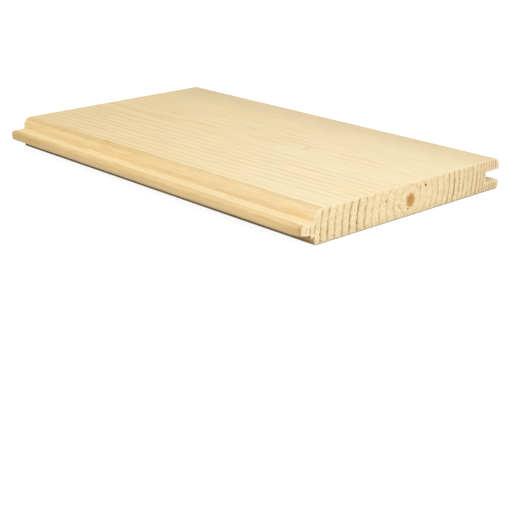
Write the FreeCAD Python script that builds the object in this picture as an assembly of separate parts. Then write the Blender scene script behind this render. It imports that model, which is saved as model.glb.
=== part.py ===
import FreeCAD, Part
import math
import os

# Tongue and groove panel board: one planed softwood board with rounded face edges,
# a tongue along one long edge, a matching groove along the other, and square sawn ends.
# Frame: X across the board from tongue to groove, Y along the grain, Z up from the back face.
# The origin is at the middle of the overall outline, on the back face. Millimetres and degrees.

# Board
length = 200.0
cover_width = 113.0
thickness = 14.0

# Tongue: it stands out of the shoulder, and both its flanks lean in towards the nose
back_lip_thickness = 4.1
tongue_length = 7.0
tongue_root_thickness = 4.6
flank_taper = 0.5
tongue_nose_radius = 1.1
tongue_root_fillet = 0.5

# Groove: the tongue's own outline with room all round
groove_side_clearance = 0.1
groove_end_clearance = 1.8
groove_corner_fillet = 0.6
groove_mouth_radius = 0.4

# Long edges
face_edge_radius = 4.0
tongue_back_edge_radius = 0.6
groove_back_edge_radius = 1.7

# Flat left on a short side between two roundings, which both give way to it
shortest_flat = 0.1


def rounded_outline(corners):
    """Closed wire in the XZ plane through corners (x, z, radius), each rounded by a tangent arc."""
    count = len(corners)
    points = [FreeCAD.Vector(x, 0, z) for x, z, radius in corners]
    sides = [points[(i + 1) % count] - points[i] for i in range(count)]
    half_angles = [sides[i].getAngle(-sides[i - 1]) / 2 for i in range(count)]
    tangents = [corners[i][2] / math.tan(half_angles[i]) for i in range(count)]
    taken = [tangents[i] + tangents[(i + 1) % count] for i in range(count)]
    room = [(sides[i].Length - shortest_flat) / taken[i] for i in range(count)]

    arcs = []
    for i in range(count):
        tangent = tangents[i] * min(1.0, room[i - 1], room[i])
        towards_last = -sides[i - 1] / sides[i - 1].Length
        towards_next = sides[i] / sides[i].Length
        inwards = (towards_last + towards_next).normalize()
        sagitta = tangent * (1 - math.sin(half_angles[i])) / math.cos(half_angles[i])
        arcs.append((
            points[i] + towards_last * tangent,
            points[i] + inwards * sagitta,
            points[i] + towards_next * tangent,
        ))

    edges = []
    for i in range(count):
        start, middle, end = arcs[i]
        next_start = arcs[(i + 1) % count][0]
        edges.append(Part.Arc(start, middle, end).toShape())
        edges.append(Part.LineSegment(end, next_start).toShape())
    return Part.Wire(edges)


def board_section():
    """The board's cross-section, from the back edge on the tongue side, along the back and round."""
    overall_width = tongue_length + cover_width
    nose_x = -overall_width / 2
    shoulder_x = nose_x + tongue_length
    lip_x = overall_width / 2

    flank_slope = math.tan(math.radians(flank_taper))
    tongue_low = back_lip_thickness
    tongue_high = back_lip_thickness + tongue_root_thickness
    nose_low = tongue_low + tongue_length * flank_slope
    nose_high = tongue_high - tongue_length * flank_slope

    groove_depth = tongue_length + groove_end_clearance
    groove_root_x = lip_x - groove_depth
    mouth_low = tongue_low - groove_side_clearance
    mouth_high = tongue_high + groove_side_clearance
    root_low = mouth_low + groove_depth * flank_slope
    root_high = mouth_high - groove_depth * flank_slope

    return rounded_outline([
        (shoulder_x, 0, tongue_back_edge_radius),
        (lip_x, 0, groove_back_edge_radius),
        (lip_x, mouth_low, groove_mouth_radius),
        (groove_root_x, root_low, groove_corner_fillet),
        (groove_root_x, root_high, groove_corner_fillet),
        (lip_x, mouth_high, groove_mouth_radius),
        (lip_x, thickness, face_edge_radius),
        (shoulder_x, thickness, face_edge_radius),
        (shoulder_x, tongue_high, tongue_root_fillet),
        (nose_x, nose_high, tongue_nose_radius),
        (nose_x, nose_low, tongue_nose_radius),
        (shoulder_x, tongue_low, tongue_root_fillet),
    ])


def make_board():
    """The section, run along the grain from one sawn end to the other."""
    near_end = Part.Face(board_section())
    near_end.translate(FreeCAD.Vector(0, -length / 2, 0))
    return near_end.extrude(FreeCAD.Vector(0, length, 0))


board = make_board()
os.makedirs("parts", exist_ok=True)
board.exportStep("parts/board.step")
print(f"board: valid {board.isValid()}, volume {board.Volume:.1f} mm3, box {board.BoundBox}")
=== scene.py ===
import math

import bpy
import numpy as np
from mathutils import Euler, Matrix, Quaternion, Vector, noise
from mathutils.geometry import delaunay_2d_cdt


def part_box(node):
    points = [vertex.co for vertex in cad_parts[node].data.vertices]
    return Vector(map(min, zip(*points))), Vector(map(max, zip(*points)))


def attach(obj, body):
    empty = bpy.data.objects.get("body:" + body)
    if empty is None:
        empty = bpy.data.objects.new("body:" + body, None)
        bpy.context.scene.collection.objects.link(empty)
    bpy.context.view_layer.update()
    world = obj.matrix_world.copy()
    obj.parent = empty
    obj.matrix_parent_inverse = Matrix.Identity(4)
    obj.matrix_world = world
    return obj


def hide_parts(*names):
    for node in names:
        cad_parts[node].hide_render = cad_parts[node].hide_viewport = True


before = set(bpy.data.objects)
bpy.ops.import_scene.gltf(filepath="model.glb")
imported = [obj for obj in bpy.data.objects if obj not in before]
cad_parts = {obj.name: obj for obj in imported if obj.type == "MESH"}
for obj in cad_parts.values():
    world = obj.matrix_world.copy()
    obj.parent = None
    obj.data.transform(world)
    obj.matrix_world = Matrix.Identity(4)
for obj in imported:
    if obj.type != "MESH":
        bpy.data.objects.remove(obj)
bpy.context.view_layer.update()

# The board and its wood are described in millimetres, and its mesh and the stage are in metres
MM = 0.001

# Outer sizes of the board, from the frame: X across it, Y along the grain, Z up from its back
node_low, node_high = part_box("board")
NOSE_X = node_low.x / MM
LIP_X = node_high.x / MM
THICKNESS = node_high.z / MM
HALF_LENGTH = node_high.y / MM

# Section of the board, as in the part's source
TONGUE_LENGTH = 7.0
TONGUE_LOW = 4.1
TONGUE_HIGH = 8.7
FLANK_SLOPE = math.tan(math.radians(0.5))
GROOVE_DEPTH = 8.8
GROOVE_LOW = 4.0
GROOVE_HIGH = 8.8
FACE_EDGE_RADIUS = 4.0
TONGUE_NOSE_RADIUS = 1.1
TONGUE_ROOT_FILLET = 0.5
TONGUE_BACK_EDGE_RADIUS = 0.6
GROOVE_BACK_EDGE_RADIUS = 1.7
GROOVE_CORNER_FILLET = 0.6
GROOVE_MOUTH_RADIUS = 0.4
SHOULDER_X = NOSE_X + TONGUE_LENGTH

# Mesh spacing along the section, along the grain and over the sawn ends
FACE_STEP = 0.3
EDGE_STEP = 0.4
TORN_STEP = 0.2
BACK_STEP = 0.8
ARC_STEP = 0.3
LEAST_ARC_STEPS = 3
FIRST_STATION = 0.25
STATION_GROWTH = 1.3
LONGEST_STATION = 4.0
END_GRID = 0.45
END_GRID_CLEAR = 0.6 * END_GRID
END_ARRIS = 0.12
SAME_PLACE = 1e-6
SHARP_ANGLE = math.radians(38)

# Growth rings: wider on the tongue side, narrow by both long edges, leaning a little towards the groove
# as they rise. The pith sinks and drifts towards the far end. A start is counted from the pith.
PITH_NEAR = (1.1, 6.6)
PITH_FAR = (-1.5, 3.2)
PITH_DRIFT_LENGTH = 170.0
PITH_DRIFT_POWER = 1.5
RING_WIDTH = 4.2
RING_OFFSET = 0.47
RING_LEAN = 0.08
FULL_LEAN_FROM = 25.0
GROOVE_SIDE_MORE = 0.135
GROOVE_SIDE_FIRST = -1.93
GROOVE_SIDE_REACH = 4.0
TONGUE_EDGE_START = 54.0
TONGUE_EDGE_MORE = 0.25
GROOVE_HALF_START = 27.0
GROOVE_HALF_MORE = 0.041
GROOVE_EDGE_START = 51.7
GROOVE_EDGE_MORE = 0.303
BEND = 4.0
LATEWOOD_START = 0.55
LATEWOOD_WIDTH = 0.4

# Unevenness of the rings: its height and the size of its waves
WIDE_WAVES = (0.3, (16, 70, 16))
SHORT_WAVES = (0.15, (4, 30, 4))

# Relief of the planed faces
RING_RELIEF = 0.006
FIBRE_RELIEF = 0.003
FIBRE_RELIEF_SIZE = (0.9, 25, 0.9)

# Relief of the sawn ends: leaning saw marks, fuzz and proud latewood, as shares of its height
SAWN_RELIEF = 0.05
SAWN_LIMIT = 1.4
SAW_PITCH = 1.3
SAW_LEAN = 0.35
SAW_MARKS = 0.35
SAW_WANDER = 2.0
SAW_WANDER_SIZE = (9, 1, 9)
SAW_FUZZ = 0.6
SAW_FUZZ_SIZE = (1.1, 1, 2.2)
SAW_FUZZ_SHIFT = 5.0
SAWN_LATEWOOD = 0.5

# At the near end the tongue's underside is torn away, and one splinter hangs from it
TORN_HEIGHT = 0.95
TORN_REACH = 6.0
TORN_POWER = 1.5
TORN_TOP = TONGUE_LOW + 1.6
TORN_TOP_FADE = 1.3
TORN_FOOT = 3.4
TORN_FOOT_FADE = 0.6
TORN_UNEVEN = 0.5
TORN_UNEVEN_SIZE = (0.5, 1.5, 0.5)
TORN_UNEVEN_SHIFT = 3.0
SPLINTER_X = SHOULDER_X - 1.0
SPLINTER_WIDTH = 1.1
SPLINTER_HEIGHT = 1.9
SPLINTER_REACH = 1.6
SPLINTER_LEAN = 0.4

# Texture layout: the long faces unrolled, with the two ends above them
LAYOUT_SIZE = 304.0
LAYOUT_GAP = 2.0


# Growth rings and relief

def noise_at(points, size):
    """Smooth noise, about -1 to 1, whose features have this size along each axis."""
    return np.array([noise.noise(point) for point in points / np.array(size)])


def share(value):
    """A value, kept between 0 and 1."""
    return np.clip(value, 0, 1)


def past(distance, start):
    """How far a distance is past a start, with a soft bend round the start."""
    beyond = distance - start
    return (np.hypot(beyond, BEND) + beyond) / 2


def from_pith(points):
    """Each point's place across and above the pith."""
    drift = share((points[:, 1] + HALF_LENGTH) / PITH_DRIFT_LENGTH) ** PITH_DRIFT_POWER
    x = points[:, 0] - PITH_NEAR[0] - drift * (PITH_FAR[0] - PITH_NEAR[0])
    z = points[:, 2] - PITH_NEAR[1] - drift * (PITH_FAR[1] - PITH_NEAR[1])
    return x, z


def growth_rings(points):
    """Rings between the pith and each point: at each whole number the latewood of one ring ends."""
    x, z = from_pith(points)
    x = x - RING_LEAN * z * np.minimum(np.abs(x) / FULL_LEAN_FROM, 1)
    radius = np.hypot(x, z)
    for height, size in (WIDE_WAVES, SHORT_WAVES):
        radius += height * noise_at(points, size)
    side = (radius + x) / 2
    spread = radius + GROOVE_SIDE_MORE * side
    spread += GROOVE_SIDE_FIRST * (1 - np.exp(-side / GROOVE_SIDE_REACH))
    by_tongue = TONGUE_EDGE_MORE * past(spread, TONGUE_EDGE_START)
    by_groove = GROOVE_HALF_MORE * past(spread, GROOVE_HALF_START)
    by_groove += GROOVE_EDGE_MORE * past(spread, GROOVE_EDGE_START)
    return spread / RING_WIDTH + RING_OFFSET + np.where(x < 0, by_tongue, by_groove)


def latewood(rings):
    """0 in the soft early part of a ring, rising to 1 where its hard latewood ends."""
    return share((rings % 1.0 - LATEWOOD_START) / LATEWOOD_WIDTH) ** 2


# Section

def arc_points(corner, to_last, to_next, radius):
    """Points of the arc that rounds a corner between two sides, given as unit vectors."""
    half_angle = math.acos(np.clip(to_last @ to_next, -1, 1)) / 2
    inwards = (to_last + to_next) / np.linalg.norm(to_last + to_next)
    centre = corner + inwards * radius / math.sin(half_angle)
    start = corner + to_last * radius / math.tan(half_angle) - centre
    end = corner + to_next * radius / math.tan(half_angle) - centre
    sweep = math.atan2(start[0] * end[1] - start[1] * end[0], start @ end)
    steps = max(LEAST_ARC_STEPS, math.ceil(abs(sweep) * radius / ARC_STEP))
    angles = np.linspace(0, sweep, steps + 1)
    x = start[0] * np.cos(angles) - start[1] * np.sin(angles)
    z = start[0] * np.sin(angles) + start[1] * np.cos(angles)
    return centre + np.column_stack([x, z])


def rounded_outline(corners):
    """Points round a closed section, from corners of (x, z, radius, step along the side that follows)."""
    places = np.array([corner[:2] for corner in corners], float)
    sides = np.roll(places, -1, 0) - places
    sides /= np.linalg.norm(sides, axis=1)[:, None]
    arcs = [
        arc_points(places[i], -sides[i - 1], sides[i], corners[i][2])
        for i in range(len(corners))
    ]
    outline = []
    for i, arc in enumerate(arcs):
        run = arcs[(i + 1) % len(arcs)][0] - arc[-1]
        pieces = max(1, math.ceil(np.linalg.norm(run) / corners[i][3]))
        outline += list(arc) + [arc[-1] + run * k / pieces for k in range(1, pieces)]
    return np.array(outline)


def board_outline():
    """The section, from the back edge on the tongue side, along the back and round by the groove."""
    root_x = LIP_X - GROOVE_DEPTH
    nose_rise = TONGUE_LENGTH * FLANK_SLOPE
    root_rise = GROOVE_DEPTH * FLANK_SLOPE
    return rounded_outline([
        (SHOULDER_X, 0, TONGUE_BACK_EDGE_RADIUS, BACK_STEP),
        (LIP_X, 0, GROOVE_BACK_EDGE_RADIUS, EDGE_STEP),
        (LIP_X, GROOVE_LOW, GROOVE_MOUTH_RADIUS, EDGE_STEP),
        (root_x, GROOVE_LOW + root_rise, GROOVE_CORNER_FILLET, EDGE_STEP),
        (root_x, GROOVE_HIGH - root_rise, GROOVE_CORNER_FILLET, EDGE_STEP),
        (LIP_X, GROOVE_HIGH, GROOVE_MOUTH_RADIUS, EDGE_STEP),
        (LIP_X, THICKNESS, FACE_EDGE_RADIUS, FACE_STEP),
        (SHOULDER_X, THICKNESS, FACE_EDGE_RADIUS, EDGE_STEP),
        (SHOULDER_X, TONGUE_HIGH, TONGUE_ROOT_FILLET, EDGE_STEP),
        (NOSE_X, TONGUE_HIGH - nose_rise, TONGUE_NOSE_RADIUS, EDGE_STEP),
        (NOSE_X, TONGUE_LOW + nose_rise, TONGUE_NOSE_RADIUS, TORN_STEP),
        (SHOULDER_X, TONGUE_LOW, TONGUE_ROOT_FILLET, TORN_STEP),
    ])


def outward_normals(outline):
    """Unit normals of a closed outline that runs anticlockwise."""
    along = np.roll(outline, -1, 0) - np.roll(outline, 1, 0)
    normals = np.column_stack([along[:, 1], -along[:, 0]])
    return normals / np.linalg.norm(normals, axis=1)[:, None]


# Points of the mesh

def stations():
    """Places along the grain from end to end, close together by the ends."""
    reach = HALF_LENGTH - END_ARRIS
    places = [0.0]
    step = FIRST_STATION
    while places[-1] < reach:
        places.append(places[-1] + step)
        step = min(step * STATION_GROWTH, LONGEST_STATION)
    places = np.array(places) * reach / places[-1]
    return np.concatenate([places - reach, (reach - places[::-1])[1:]])


def inside(points, outline):
    """Which points lie inside a closed outline."""
    crossings = np.zeros(len(points), int)
    for (x0, z0), (x1, z1) in zip(outline, np.roll(outline, -1, 0)):
        if z0 != z1:
            spans = (points[:, 1] >= min(z0, z1)) & (points[:, 1] < max(z0, z1))
            meets = x0 + (points[:, 1] - z0) * (x1 - x0) / (z1 - z0)
            crossings += spans & (points[:, 0] < meets)
    return crossings % 2 == 1


def from_rim(points, rim):
    """Distance of each point from the nearest point of a rim."""
    return np.array([np.hypot(*(rim - point).T).min() for point in points])


def end_grid(rim):
    """A grid of points inside a sawn end, clear of its rim."""
    x, z = np.meshgrid(
        np.arange(rim[:, 0].min(), rim[:, 0].max(), END_GRID),
        np.arange(rim[:, 1].min(), rim[:, 1].max(), END_GRID),
    )
    grid = np.column_stack([x.ravel(), z.ravel()])
    grid = grid[inside(grid, rim)]
    return grid[from_rim(grid, rim) > END_GRID_CLEAR]


def torn_fibres(points):
    """How far the fibres under the tongue are torn up or hang down, at the near end."""
    x, y, z = points.T
    from_end = y + HALF_LENGTH
    low = share((TORN_TOP - z) / TORN_TOP_FADE) * share((z - TORN_FOOT) / TORN_FOOT_FADE)
    from_root = share((SHOULDER_X - x) / TONGUE_LENGTH)
    torn = low * np.sqrt(from_root) * share(1 - from_end / TORN_REACH) ** TORN_POWER
    torn *= 1 + TORN_UNEVEN * noise_at(points + TORN_UNEVEN_SHIFT, TORN_UNEVEN_SIZE)
    splinter = low * share(1 - np.abs(x - SPLINTER_X) / SPLINTER_WIDTH)
    hang = SPLINTER_HEIGHT * splinter * share(1 - from_end / SPLINTER_REACH)
    return np.column_stack([-SPLINTER_LEAN * hang, np.zeros_like(x), TORN_HEIGHT * torn - hang])


def long_surface(outline, along):
    """Points of the long faces, a ring of the outline at each station, with the grain's relief."""
    points = np.array([(x, y, z) for y in along for x, z in outline])
    rings = growth_rings(points)
    height = RING_RELIEF * (latewood(rings) - 1)
    height += FIBRE_RELIEF * (noise_at(points, FIBRE_RELIEF_SIZE) - 1)
    x, z = outward_normals(outline).T
    outwards = np.tile(np.column_stack([x, np.zeros_like(x), z]), (len(along), 1))
    return points + outwards * height[:, None] + torn_fibres(points), rings


def sawn_end(flat, end_y):
    """Points of one sawn end, rough along the grain."""
    points = np.column_stack([flat[:, 0], np.full(len(flat), end_y), flat[:, 1]])
    rings = growth_rings(points)
    turn = 2 * math.pi * (flat[:, 0] + SAW_LEAN * flat[:, 1]) / SAW_PITCH
    rough = SAW_MARKS * np.sin(turn + SAW_WANDER * noise_at(points, SAW_WANDER_SIZE))
    rough += SAW_FUZZ * noise_at(points + SAW_FUZZ_SHIFT, SAW_FUZZ_SIZE)
    rough += SAWN_LATEWOOD * latewood(rings)
    sunk = np.clip(rough, -SAWN_LIMIT, SAWN_LIMIT) - SAWN_LIMIT
    points[:, 1] += math.copysign(SAWN_RELIEF, end_y) * sunk
    return points + torn_fibres(points), rings


# The board's mesh

def strip_faces(outline, along):
    """Faces between the stations, each with its corners' places in the texture layout."""
    count = len(outline)
    lengths = np.linalg.norm(np.roll(outline, -1, 0) - outline, axis=1)
    across = LAYOUT_GAP + np.concatenate([[0], np.cumsum(lengths)])
    up = along + HALF_LENGTH + LAYOUT_GAP
    faces, layout = [], []
    for row in range(len(along) - 1):
        here = row * count
        beyond = here + count
        for i in range(count):
            j = (i + 1) % count
            faces.append((here + j, here + i, beyond + i, beyond + j))
            layout += [
                (across[i + 1], up[row]), (across[i], up[row]),
                (across[i], up[row + 1]), (across[i + 1], up[row + 1]),
            ]
    return faces, layout


def end_triangles(flat, rim_count):
    """Triangles over a sawn end, whose first points are its rim."""
    edges = [(i, (i + 1) % rim_count) for i in range(rim_count)]
    keep_inside = 1
    _, _, triangles, *_ = delaunay_2d_cdt(flat.tolist(), edges, [], keep_inside, SAME_PLACE)
    return triangles


def end_faces(outline, flat, triangles, first, edge_row, corner, facing):
    """Faces of one end, the narrow arris round it among them, with their places in the layout."""
    count = len(outline)
    faces, layout = [], []
    for i in range(count):
        j = (i + 1) % count
        face = [first + i, first + j, edge_row + j, edge_row + i]
        places = [flat[i], flat[j], outline[j], outline[i]]
        faces.append(face[::facing])
        layout += places[::facing]
    for triangle in triangles:
        turned = triangle[::-facing]
        faces.append([first + i for i in turned])
        layout += [flat[i] for i in turned]
    return faces, [(x + corner[0], z + corner[1]) for x, z in layout]


def add_values(mesh, name, values):
    """One number at each point of a mesh, for the materials to read."""
    attribute = mesh.attributes.new(name, "FLOAT", "POINT")
    attribute.data.foreach_set("value", values.astype(np.float32))


def board_mesh():
    """The board as one closed mesh: long faces in material 0, sawn ends in material 1."""
    outline = board_outline()
    along = stations()
    points, rings = long_surface(outline, along)
    faces, layout = strip_faces(outline, along)
    long_faces = len(faces)

    rim = outline - outward_normals(outline) * END_ARRIS
    flat = np.concatenate([rim, end_grid(rim)])
    triangles = end_triangles(flat, len(rim))
    on_end = from_rim(flat, rim)
    from_arris = np.concatenate([HALF_LENGTH - np.abs(points[:, 1]), on_end, on_end])

    # Each end: its place, the first point of the station beside it, its left in the layout, its turn
    above = 2 * HALF_LENGTH + 2 * LAYOUT_GAP
    ends = (
        (-HALF_LENGTH, 0, LAYOUT_GAP - NOSE_X, -1),
        (HALF_LENGTH, len(points) - len(outline), 2 * LAYOUT_GAP + LIP_X - 2 * NOSE_X, 1),
    )
    for end_y, edge_row, left, facing in ends:
        end_points, end_rings = sawn_end(flat, end_y)
        more_faces, more_layout = end_faces(
            outline, flat, triangles, len(points), edge_row, (left, above), facing
        )
        points = np.concatenate([points, end_points])
        rings = np.concatenate([rings, end_rings])
        faces += more_faces
        layout += more_layout

    mesh = bpy.data.meshes.new("planed_board")
    mesh.from_pydata((points * MM).tolist(), [], faces)
    add_values(mesh, "rings", rings)
    add_values(mesh, "from_arris", from_arris)
    texture = np.array(layout, np.float32) / LAYOUT_SIZE
    mesh.uv_layers.new(name="OFBake").data.foreach_set("uv", texture.ravel())
    mesh.polygons.foreach_set("material_index", [int(i >= long_faces) for i in range(len(faces))])
    mesh.shade_smooth()
    mesh.set_sharp_from_angle(angle=SHARP_ANGLE)
    mesh.update()
    return mesh


# Colours and tints: a tint multiplies the wood under it

def colour(red, green, blue):
    """A colour as it looks on screen, 0 to 255, as the linear values that a shader takes."""
    levels = [level / 255 for level in (red, green, blue)]
    linear = [v / 12.92 if v < 0.04045 else ((v + 0.055) / 1.055) ** 2.4 for v in levels]
    return (*linear, 1.0)


WHITE = (1, 1, 1, 1)
EARLY_WOOD = colour(251, 234, 195)
FAR_WOOD = colour(251, 225, 174)
# Duller face by the groove: partly denser rings, partly painted shade
GROOVE_WOOD_AND_SHADE = colour(236, 215, 173)
ORANGE_WOOD = colour(242, 202, 136)
NOSE_WOOD = colour(237, 206, 149)
# Brown of the smudge on the nose, and of the painted shade by the near end
STAIN_AND_SHADE_BROWN = colour(192, 154, 100)
END_WOOD = colour(247, 232, 191)
END_MOTTLE = colour(232, 201, 150)
END_FLECK = colour(253, 243, 217)
END_LIP = colour(234, 202, 160)
END_LINES = colour(146, 108, 52)
PITH = colour(206, 151, 74)
DARK_MARK = colour(126, 94, 56)
# Grey of the painted contact shadow along the foot of the sawn ends
FOOT_SHADOW_GREY = colour(146, 142, 126)
LATE_TINT = (0.56, 0.42, 0.0, 1)
# Grey tint of painted shade that darkens the face towards the far end
FAR_SHADE_TINT = (0.95, 0.955, 0.96, 1)
FAR_EDGE_TINT = (1.065, 1.045, 0.95, 1)

# Tone of the moulded tongue edge by height, from the lip below the tongue up to the face: partly the
# wood's colour, partly painted light and shade
EDGE_TONES_AND_SHADE = (
    # The two lowest stops paint a dark contact shadow along the foot of the lip, under the tongue
    (0.3, colour(184, 161, 121)),
    (0.8, colour(92, 79, 54)),
    (1.9, colour(211, 183, 136)),
    (5.0, colour(222, 195, 147)),
    (6.1, colour(233, 201, 144)),
    (7.9, colour(235, 203, 145)),
    (8.66, colour(249, 230, 190)),
    (8.85, colour(240, 215, 168)),
    (9.8, colour(243, 221, 178)),
    (11.2, colour(243, 217, 168)),
    (13.7, colour(242, 214, 166)),
)

# Patterns in the wood: their size across the board, along the grain and up, and their detail
FIBRE_SIZE = (0.28, 40, 0.28)
DASH_SIZE = (0.7, 24, 0.7)
STREAK_SIZE = (1.6, 70, 1.6)
PATCH_SIZE = (2.5, 36, 2.5)
CLOUD_SIZE = (16, 60, 16)
FACE_SWAY_SIZE = (3, 60, 3)
EDGE_PATCH_SIZE = (1.0, 11, 1.0)
FUZZ_SIZE = (0.65, 2, 1.0)
MOTTLE_SIZE = (2.6, 6, 2.0)
BREAK_SIZE = (1.2, 4, 3.4)
END_SWAY_SIZE = (1.1, 30, 1.1)
FRAY_SIZE = (0.5, 1.5, 0.5)
MARK_EDGE_SIZE = (0.8, 6, 0.8)
PLAIN_DETAIL = 2.0
FINE_DETAIL = 3.0

# Where the rounding of the tongue side meets the face
EDGE_START = SHOULDER_X + 4.6

# Where the wood changes, each from one place to another along the axis that is named last
BOARD_Y = (-HALF_LENGTH, HALF_LENGTH)
# Painted shade darkening the face towards the far end, and the duller wood by the groove, partly painted
# shade
FAR_SHADE_Y = (30.0, HALF_LENGTH)
GROOVE_WOOD_AND_SHADE_X = (28.0, LIP_X)
FACE_LINES_X = (-10.0, 25.0)
EDGE_X = (EDGE_START, EDGE_START - 0.7)
EDGE_Z = (0.02, 0.12)
EDGE_LINE_START_X = (EDGE_START + 0.3, EDGE_START - 0.4)
EDGE_LINE_END_X = (EDGE_START - 1.7, EDGE_START - 0.9)
EDGE_LINE_Y = (20.0, 80.0)
EDGE_LINE_Z = (12.0, 13.0)
NOSE_WOOD_X = (NOSE_X + 3.0, NOSE_X + 1.8)
NOSE_WOOD_Z = (7.4, 8.2)
FAR_EDGE_Y = (-60.0, 40.0)
FAR_EDGE_Z = (8.3, 8.8)
EDGE_FRAY_Z = (8.2, 9.4)
END_LIP_X = (LIP_X - 30, LIP_X - 5)
END_LINES_Z = (1.0, 13.0)
# Painted contact shadow on the sawn ends: a grey shade up the foot, and a darker line at the very bottom
FOOT_SHADE_Z = (3.4, 0.8)
FOOT_SHADOW_LINE_Z = (0.9, 0.1)

# Pale frayed fibres along a sawn arris: how ragged they are, and the distance over which they set in
FRAY_RAGGED = 1.4
FRAY_DISTANCE = (1.9, 0.6)

# Strength of the fine grain on the tongue edge, and of the pale torn fibres on the ends
EDGE_FINE_GRAIN = 0.7
TORN_PALENESS = 0.3

# Ring lines: their shape, their strength, and the rings over which they turn full or stronger
LINE_POWER = 1.3
LINE_END = 0.955
RING_CHANCE = 196.0
STRONGEST_RING = 1.15
YOUNG_STRENGTH = 0.5
OLD_STRENGTH = 1.3
OLD_RINGS = (13.0, 17.0)
FACE_YOUNG_RINGS = (1.0, 5.0)
END_YOUNG_RINGS = (5.2, 6.7)

# Sheen and bump of the surfaces
SHEEN = 0.25
PLANED_BUMP = 0.25
PLANED_BUMP_HEIGHT = 0.2 * MM
SAWN_BUMP = 0.5
SAWN_BUMP_HEIGHT = 0.4 * MM

# Marks on the sawn ends, each a place and a full size: the pith, a speck, scratches and torn edges
PITHS = (
    ((PITH_NEAR[0] + 0.5, -HALF_LENGTH, PITH_NEAR[1]), (4.6, 40, 5.4)),
    ((PITH_FAR[0], HALF_LENGTH, PITH_FAR[1]), (4.6, 40, 5.0)),
)
SPECKS = (
    ((10.8, -HALF_LENGTH, 11.2), (1.2, 20, 1.2)),
)
SCRATCHES = (
    ((0.1, -HALF_LENGTH, 3.3), (1.2, 20, 0.9)),
    ((-5.5, -HALF_LENGTH, 5.5), (0.8, 20, 1.6)),
    ((-13.4, -HALF_LENGTH, 9.2), (0.8, 20, 1.2)),
    ((7.5, -HALF_LENGTH, 10.4), (0.6, 20, 2.2)),
)
TORN_EDGES = (
    ((NOSE_X + 2.4, -HALF_LENGTH, TONGUE_LOW + 1.0), (5.4, 4, 1.0)),
    ((SPLINTER_X, -HALF_LENGTH, TONGUE_LOW - 0.6), (2.0, 4, 2.6)),
)

# Marks on the planed face and the tongue edge, each a place and a full size
FACE_MARKS = (
    ((7.4, -33.8, THICKNESS), (3.6, 2.0, 4)),
    ((10.4, -33.3, THICKNESS), (3.0, 2.0, 4)),
    ((-49.5, 35.0, THICKNESS), (1.8, 7.0, 3)),
)
LATE_STREAKS = (
    ((SHOULDER_X + 2.2, 54.0, 13.4), (3.6, 150, 1.7)),
    ((NOSE_X, HALF_LENGTH, 7.5), (3.0, 70, 4.4)),
)
ORANGE_PATCHES = (
    ((SHOULDER_X, -89.5, 11.2), (3, 13, 2.4)),
)
SMUDGES = (
    ((NOSE_X, -98.6, 7.3), (3, 1.7, 3.0)),
)
# Painted shade by the near end: on the lip under the tongue and along the nose
NEAR_END_SHADES = (
    ((SHOULDER_X, -HALF_LENGTH, 2.4), (3, 22, 6.0)),
    ((NOSE_X, -HALF_LENGTH, 6.4), (4, 26, 6.0)),
)


# Materials

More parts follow.
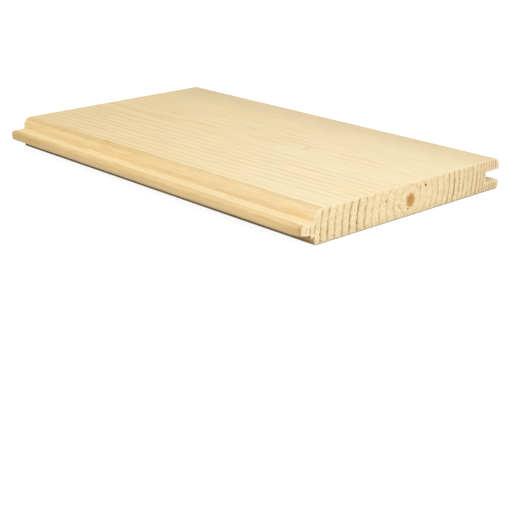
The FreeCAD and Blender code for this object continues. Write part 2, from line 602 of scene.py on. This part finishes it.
class Graph:
    """Short calls that add nodes to one material."""

    def __init__(self, name):
        self.material = bpy.data.materials.new(name)
        self.material.use_nodes = True
        self.tree = self.material.node_tree
        self.shader = self.tree.nodes["Principled BSDF"]

    def feed(self, socket, value):
        """A link into a socket, or a plain value on it."""
        if isinstance(value, bpy.types.NodeSocket):
            self.tree.links.new(value, socket)
        else:
            socket.default_value = value

    def add(self, kind, inputs, **settings):
        """A new node with its settings and inputs."""
        node = self.tree.nodes.new("ShaderNode" + kind)
        for name, value in settings.items():
            setattr(node, name, value)
        for name, value in inputs.items():
            self.feed(node.inputs[name], value)
        return node

    def math(self, operation, first, second=0.0):
        return self.add("Math", {0: first, 1: second}, operation=operation).outputs[0]

    def plus(self, first, second):
        return self.math("ADD", first, second)

    def times(self, first, second):
        return self.math("MULTIPLY", first, second)

    def vector(self, operation, first, second):
        return self.add("VectorMath", {0: first, 1: second}, operation=operation).outputs[0]

    def band(self, value, low, high, bottom=0.0, top=1.0):
        """A smooth change from bottom to top as value goes from low to high."""
        inputs = {"Value": value, "From Min": low, "From Max": high, "To Min": bottom, "To Max": top}
        return self.add("MapRange", inputs, interpolation_type="SMOOTHSTEP").outputs[0]

    def blend(self, amount, first, second):
        """The first colour, going over to the second where amount is 1."""
        node = self.add("Mix", {0: amount}, data_type="RGBA")
        self.feed(node.inputs[6], first)
        self.feed(node.inputs[7], second)
        return node.outputs[2]

    def tint(self, amount, base, tint):
        """The base colour, multiplied by a tint where amount is 1."""
        return self.vector("MULTIPLY", base, self.blend(amount, WHITE, tint))

    def darken(self, amount, base):
        """The base colour, going over to its latewood tone where amount is 1."""
        return self.tint(amount, base, LATE_TINT)

    def place(self):
        """A point's place on the board, in millimetres."""
        return self.vector("DIVIDE", self.add("TexCoord", {}).outputs["Object"], (MM, MM, MM))

    def axis(self, name):
        """A point's place along one axis of the board, in millimetres."""
        return self.add("SeparateXYZ", {0: self.place()}).outputs[name]

    def attribute(self, name):
        """A number that the mesh holds at each point."""
        return self.add("Attribute", {}, attribute_name=name).outputs["Fac"]

    def noise(self, size, detail=PLAIN_DETAIL):
        """Noise from 0 to 1 whose features have this size."""
        stretched = self.vector("DIVIDE", self.place(), size)
        return self.add("TexNoise", {"Vector": stretched, "Scale": 1.0, "Detail": detail}).outputs[0]

    def sway(self, size, amount):
        """Noise round 0 that spans an amount from its lowest to its highest."""
        return self.times(self.math("SUBTRACT", self.noise(size), 0.5), amount)

    def spots(self, marks, softness, ragged, strength=1.0):
        """The strength inside any of the marks, 0 elsewhere, with a soft and uneven edge."""
        uneven = self.sway(MARK_EDGE_SIZE, ragged)
        inside_any = 0.0
        for centre, size in marks:
            offset = self.vector("DIVIDE", self.vector("SUBTRACT", self.place(), centre), size)
            reach = self.add("VectorMath", {0: offset}, operation="LENGTH").outputs["Value"]
            reach = self.plus(self.times(reach, 2.0), uneven)
            inside_any = self.math("MAXIMUM", inside_any, self.band(reach, 1 + softness, 1 - softness))
        return self.times(inside_any, strength)

    def ring_lines(self, start, width, sway, weakest, young_rings):
        """Latewood of each ring, from 0 to about 1, weaker in some rings and fainter in the young ones."""
        rings = self.attribute("rings")
        part = self.math("FRACT", self.plus(rings, sway))
        rise = self.math("POWER", self.band(part, start, start + width), LINE_POWER)
        line = self.times(rise, self.band(part, 1.0, LINE_END))
        which = self.plus(self.math("FLOOR", rings), RING_CHANCE)
        chance = self.add("TexWhiteNoise", {"W": which}, noise_dimensions="1D").outputs["Value"]
        by_chance = self.band(chance, 0.0, 1.0, weakest, STRONGEST_RING)
        if_young = self.band(rings, *young_rings, YOUNG_STRENGTH, 1.0)
        if_old = self.band(rings, *OLD_RINGS, 1.0, OLD_STRENGTH)
        return self.times(line, self.times(self.times(by_chance, if_young), if_old))

    def tones(self, value, highest, stops):
        """A colour that goes from stop to stop, each a value up to the highest and its colour."""
        node = self.add("ValToRGB", {"Fac": self.math("DIVIDE", value, highest)})
        ramp = node.color_ramp
        while len(ramp.elements) < len(stops):
            ramp.elements.new(0.5)
        for element, (place, tone) in zip(ramp.elements, stops):
            element.position = place / highest
            element.color = tone
        return node.outputs["Color"]

    def finish(self, base, roughness, relief, bump, bump_height):
        """The material with its colour, roughness and bumps."""
        self.shader.inputs["Specular IOR Level"].default_value = SHEEN
        self.feed(self.shader.inputs["Base Color"], base)
        self.feed(self.shader.inputs["Roughness"], roughness)
        bumped = self.add("Bump", {"Strength": bump, "Distance": bump_height, "Height": relief})
        self.feed(self.shader.inputs["Normal"], bumped.outputs[0])
        return self.material


# Planed wood

def face_wood(graph):
    """Early wood of the face: yellower at the far end and darkened there by painted shade, duller towards
    the groove from denser rings and painted shade.
    """
    far = graph.band(graph.axis("Y"), *BOARD_Y)
    clouds = graph.band(graph.noise(CLOUD_SIZE), 0.3, 0.75, bottom=-0.15, top=0.25)
    wood = graph.blend(graph.plus(far, clouds), EARLY_WOOD, FAR_WOOD)
    wood = graph.blend(graph.band(graph.axis("X"), *GROOVE_WOOD_AND_SHADE_X), wood, GROOVE_WOOD_AND_SHADE)
    return graph.tint(graph.band(graph.axis("Y"), *FAR_SHADE_Y), wood, FAR_SHADE_TINT)


def face_lines(graph):
    """Ring lines of the face: patchy, stronger at the far end and weaker towards the groove."""
    far = graph.band(graph.axis("Y"), *BOARD_Y)
    patch = graph.noise(PATCH_SIZE)
    sway = graph.sway(FACE_SWAY_SIZE, amount=0.2)
    lines = graph.ring_lines(
        start=0.45, width=0.48, sway=sway, weakest=0.85, young_rings=FACE_YOUNG_RINGS
    )
    lines = graph.times(lines, graph.band(far, 0.0, 1.0, bottom=0.18, top=0.25))
    lines = graph.times(lines, graph.band(patch, 0.3, 0.65, bottom=0.6, top=1.0))
    return graph.times(lines, graph.band(graph.axis("X"), *FACE_LINES_X, bottom=1.05, top=0.75))


def fine_grain(graph, fibre):
    """Fine fibres, with short dashes along the grain."""
    fibres = graph.band(fibre, 0.45, 0.75, bottom=0.0, top=0.15)
    dashes = graph.band(graph.noise(DASH_SIZE), 0.35, 0.7, bottom=-0.05, top=0.12)
    return graph.plus(fibres, dashes)


def frayed_arris(graph):
    """1 in the pale torn fibres along a sawn arris."""
    ragged = graph.times(graph.noise(FRAY_SIZE), FRAY_RAGGED)
    return graph.band(graph.plus(graph.attribute("from_arris"), ragged), *FRAY_DISTANCE)


def edge_wood(graph):
    """Tones of the moulded edge by height, partly painted light and shade, with a tan nose, warmer above
    the tongue at the far end.
    """
    wood = graph.tones(graph.axis("Z"), THICKNESS, EDGE_TONES_AND_SHADE)
    nose = graph.band(graph.axis("X"), *NOSE_WOOD_X)
    nose = graph.times(nose, graph.band(graph.axis("Z"), *NOSE_WOOD_Z))
    wood = graph.blend(nose, wood, NOSE_WOOD)
    far = graph.band(graph.axis("Y"), *FAR_EDGE_Y)
    far = graph.times(far, graph.band(graph.axis("Z"), *FAR_EDGE_Z))
    wood = graph.tint(far, wood, FAR_EDGE_TINT)
    pale = graph.band(graph.axis("Z"), *EDGE_FRAY_Z, bottom=0.15, top=0.6)
    return graph.blend(graph.times(frayed_arris(graph), pale), wood, END_FLECK)


def edge_grain(graph, fine):
    """Grain of the moulded edge: the fine grain, weaker, and uneven patches."""
    patches = graph.band(graph.noise(EDGE_PATCH_SIZE), 0.32, 0.68, bottom=-0.08, top=0.13)
    return graph.plus(graph.times(fine, EDGE_FINE_GRAIN), patches)


def tongue_edge(graph, streak):
    """1 on the moulded edge with the tongue, less in its streaks, 0 on the face and the back."""
    edge = graph.band(graph.axis("X"), *EDGE_X)
    edge = graph.times(edge, graph.band(graph.axis("Z"), *EDGE_Z))
    return graph.times(edge, graph.band(streak, 0.25, 0.65, bottom=0.75, top=1.0))


def edge_line(graph):
    """The darker line where the rounding meets the face, fainter at the far end."""
    line = graph.band(graph.axis("X"), *EDGE_LINE_START_X)
    line = graph.times(line, graph.band(graph.axis("X"), *EDGE_LINE_END_X))
    line = graph.times(line, graph.band(graph.axis("Z"), *EDGE_LINE_Z))
    return graph.times(line, graph.band(graph.axis("Y"), *EDGE_LINE_Y, bottom=0.2, top=0.08))


def planed_marks(graph, wood, streak):
    """The planed wood with its streaks, marks, a smudge and painted shade by the near end."""
    orange = graph.spots(ORANGE_PATCHES, softness=0.6, ragged=1.2)
    orange = graph.times(orange, graph.band(streak, 0.35, 0.6, bottom=0.2, top=0.5))
    wood = graph.blend(orange, wood, ORANGE_WOOD)
    wood = graph.darken(graph.spots(LATE_STREAKS, softness=0.6, ragged=0.8, strength=0.24), wood)
    wood = graph.darken(graph.spots(FACE_MARKS, softness=0.7, ragged=1.2, strength=0.3), wood)
    wood = graph.blend(graph.spots(SMUDGES, softness=0.6, ragged=0.6, strength=0.7), wood, STAIN_AND_SHADE_BROWN)
    # Painted shade on the lip under the tongue and on the nose, by the near end
    return graph.blend(graph.spots(NEAR_END_SHADES, softness=0.7, ragged=1.0, strength=0.28), wood, STAIN_AND_SHADE_BROWN)


def planed_wood():
    """Long grain of the face, the back and the edges, with the tones of the moulded tongue edge, partly
    painted light and shade.
    """
    graph = Graph("planed_softwood")
    fibre = graph.noise(FIBRE_SIZE, FINE_DETAIL)
    streak = graph.noise(STREAK_SIZE)
    fine = fine_grain(graph, fibre)
    wood = graph.darken(graph.plus(face_lines(graph), fine), face_wood(graph))
    edge = graph.darken(edge_grain(graph, fine), edge_wood(graph))
    wood = graph.blend(tongue_edge(graph, streak), wood, edge)
    wood = graph.darken(edge_line(graph), wood)
    wood = planed_marks(graph, wood, streak)
    roughness = graph.band(fibre, 0.3, 0.7, bottom=0.52, top=0.66)
    return graph.finish(wood, roughness, fibre, PLANED_BUMP, PLANED_BUMP_HEIGHT)


# Sawn wood

def end_wood(graph, fuzz):
    """Early wood of an end: mottled and flecked by the saw, tanner towards the groove."""
    mottle = graph.noise(MOTTLE_SIZE)
    wood = graph.blend(graph.band(fuzz, 0.42, 0.68), END_WOOD, END_MOTTLE)
    wood = graph.blend(graph.band(mottle, 0.3, 0.7, bottom=0.0, top=0.5), wood, END_MOTTLE)
    wood = graph.blend(graph.band(fuzz, 0.42, 0.25, bottom=0.0, top=0.6), wood, END_FLECK)
    return graph.blend(graph.band(graph.axis("X"), *END_LIP_X, bottom=0.0, top=0.5), wood, END_LIP)


def end_lines(graph):
    """Ring lines of an end: uneven, fainter towards the face and in the frayed arris."""
    sway = graph.sway(END_SWAY_SIZE, amount=0.25)
    lines = graph.ring_lines(
        start=0.5, width=0.44, sway=sway, weakest=0.45, young_rings=END_YOUNG_RINGS
    )
    lines = graph.times(lines, graph.band(graph.noise(BREAK_SIZE), 0.36, 0.6, bottom=0.42, top=1.0))
    lines = graph.times(lines, graph.band(frayed_arris(graph), 0.0, 1.0, bottom=1.0, top=0.35))
    return graph.times(lines, graph.band(graph.axis("Z"), *END_LINES_Z, bottom=0.93, top=0.65))


def end_marks(graph, wood, fuzz):
    """The sawn wood with the pith, the speck, the scratches and the pale torn fibres."""
    pith = graph.blend(graph.band(fuzz, 0.62, 0.34, bottom=0.0, top=0.4), PITH, END_LINES)
    wood = graph.blend(graph.spots(PITHS, softness=0.4, ragged=1.5), wood, pith)
    wood = graph.blend(graph.spots(SPECKS, softness=0.4, ragged=0.6), wood, DARK_MARK)
    wood = graph.blend(graph.spots(SCRATCHES, softness=0.5, ragged=0.6, strength=0.6), wood, END_LINES)
    torn = graph.plus(graph.spots(TORN_EDGES, softness=0.5, ragged=1.0), frayed_arris(graph))
    return graph.blend(graph.times(torn, TORN_PALENESS), wood, END_FLECK)


def sawn_wood():
    """End grain: dark ring lines, the pith and the fuzz of the saw, with a painted contact shadow greying
    the foot.
    """
    graph = Graph("sawn_softwood")
    fuzz = graph.noise(FUZZ_SIZE, FINE_DETAIL)
    wood = graph.blend(end_lines(graph), end_wood(graph, fuzz), END_LINES)
    wood = end_marks(graph, wood, fuzz)
    # Painted contact shadow: the foot goes greyer, with a darker line along the bottom edge
    shade = graph.band(graph.axis("Z"), *FOOT_SHADE_Z, bottom=0.0, top=0.15)
    line = graph.band(graph.axis("Z"), *FOOT_SHADOW_LINE_Z, bottom=0.0, top=0.55)
    wood = graph.blend(graph.plus(shade, line), wood, FOOT_SHADOW_GREY)
    roughness = graph.band(fuzz, 0.3, 0.7, bottom=0.65, top=0.85)
    return graph.finish(wood, roughness, fuzz, SAWN_BUMP, SAWN_BUMP_HEIGHT)


# Stage: a white floor that keeps a faint shadow, soft light and the camera

FLOOR_SIZE = 6.0
FLOOR_GLOW = 0.9
FLOOR_SHADOW = 0.2
FLOOR_BOUNCE = colour(235, 235, 235)
FILL_LIGHT = 0.65
KEY_PLACE = Vector((-0.3, -0.5, 0.52))
KEY_SIZE = 0.5
KEY_POWER = 2.8
CAMERA_PLACE = (-0.35193, -0.39170, 0.14717)
CAMERA_TILT = math.radians(90 - 19.8826)
CAMERA_HEADING = math.radians(-42.6317)
CAMERA_ROLL = math.radians(0.157)
CAMERA_LENS = 83.346
CAMERA_SENSOR = 36.0
CAMERA_NEAREST = 0.01


def seen_rays(tree):
    """1 for the rays that show the background: straight to the camera, mirrored or through glass."""
    path = tree.nodes.new("ShaderNodeLightPath")
    total = path.outputs["Is Camera Ray"]
    for name in ("Is Glossy Ray", "Is Transmission Ray"):
        both = tree.nodes.new("ShaderNodeMath")
        both.operation = "MAXIMUM"
        tree.links.new(total, both.inputs[0])
        tree.links.new(path.outputs[name], both.inputs[1])
        total = both.outputs[0]
    return total


def choose_seen(tree, unseen, seen, surface):
    """One shader for the rays that show the background and another for the light on the board."""
    choice = tree.nodes.new("ShaderNodeMixShader")
    tree.links.new(seen_rays(tree), choice.inputs[0])
    tree.links.new(unseen.outputs[0], choice.inputs[1])
    tree.links.new(seen.outputs[0], choice.inputs[2])
    tree.links.new(choice.outputs[0], surface)


def white_floor():
    """A material that glows white to the camera, less where the board shades it."""
    material = bpy.data.materials.new("white_floor")
    material.use_nodes = True
    tree = material.node_tree
    tree.nodes.remove(tree.nodes["Principled BSDF"])
    bounce = tree.nodes.new("ShaderNodeBsdfDiffuse")
    bounce.inputs["Color"].default_value = FLOOR_BOUNCE
    glow = tree.nodes.new("ShaderNodeEmission")
    glow.inputs["Strength"].default_value = FLOOR_GLOW
    shaded = tree.nodes.new("ShaderNodeBsdfDiffuse")
    shaded.inputs["Color"].default_value = (FLOOR_SHADOW, FLOOR_SHADOW, FLOOR_SHADOW, 1)
    seen = tree.nodes.new("ShaderNodeAddShader")
    tree.links.new(glow.outputs[0], seen.inputs[0])
    tree.links.new(shaded.outputs[0], seen.inputs[1])
    choose_seen(tree, bounce, seen, tree.nodes["Material Output"].inputs["Surface"])
    return material


def make_floor():
    """A large level floor under the board."""
    mesh = bpy.data.meshes.new("floor")
    half = FLOOR_SIZE / 2
    corners = [(-half, -half, 0), (half, -half, 0), (half, half, 0), (-half, half, 0)]
    mesh.from_pydata(corners, [], [(0, 1, 2, 3)])
    mesh.materials.append(white_floor())
    floor = bpy.data.objects.new("floor", mesh)
    bpy.context.scene.collection.objects.link(floor)


def make_light():
    """Even light from all round, and a large soft lamp in front, above and to the left."""
    world = bpy.data.worlds.new("studio")
    bpy.context.scene.world = world
    world.use_nodes = True
    tree = world.node_tree
    fill = tree.nodes["Background"]
    fill.inputs["Color"].default_value = WHITE
    fill.inputs["Strength"].default_value = FILL_LIGHT
    white = tree.nodes.new("ShaderNodeBackground")
    white.inputs["Color"].default_value = WHITE
    choose_seen(tree, fill, white, tree.nodes["World Output"].inputs["Surface"])

    lamp = bpy.data.lights.new("softbox", "AREA")
    lamp.size = KEY_SIZE
    lamp.energy = KEY_POWER
    softbox = bpy.data.objects.new("softbox", lamp)
    softbox.location = KEY_PLACE
    softbox.rotation_euler = (-KEY_PLACE).to_track_quat("-Z", "Y").to_euler()
    bpy.context.scene.collection.objects.link(softbox)


def make_camera():
    """The photo's camera: in front, to the left and above, level but for a slight roll."""
    lens = bpy.data.cameras.new("camera")
    lens.sensor_width = CAMERA_SENSOR
    lens.lens = CAMERA_LENS
    lens.clip_start = CAMERA_NEAREST
    camera = bpy.data.objects.new("camera", lens)
    aim = Euler((CAMERA_TILT, 0, CAMERA_HEADING)).to_quaternion()
    camera.location = CAMERA_PLACE
    camera.rotation_euler = (aim @ Quaternion((0, 0, 1), CAMERA_ROLL)).to_euler()
    bpy.context.scene.collection.objects.link(camera)
    bpy.context.scene.camera = camera


make_camera()
make_floor()
make_light()
bpy.context.scene.view_settings.view_transform = "Standard"

board = bpy.data.objects.new("planed_board", board_mesh())
bpy.context.scene.collection.objects.link(board)
board.data.materials.append(planed_wood())
board.data.materials.append(sawn_wood())
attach(board, "root")
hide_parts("board")
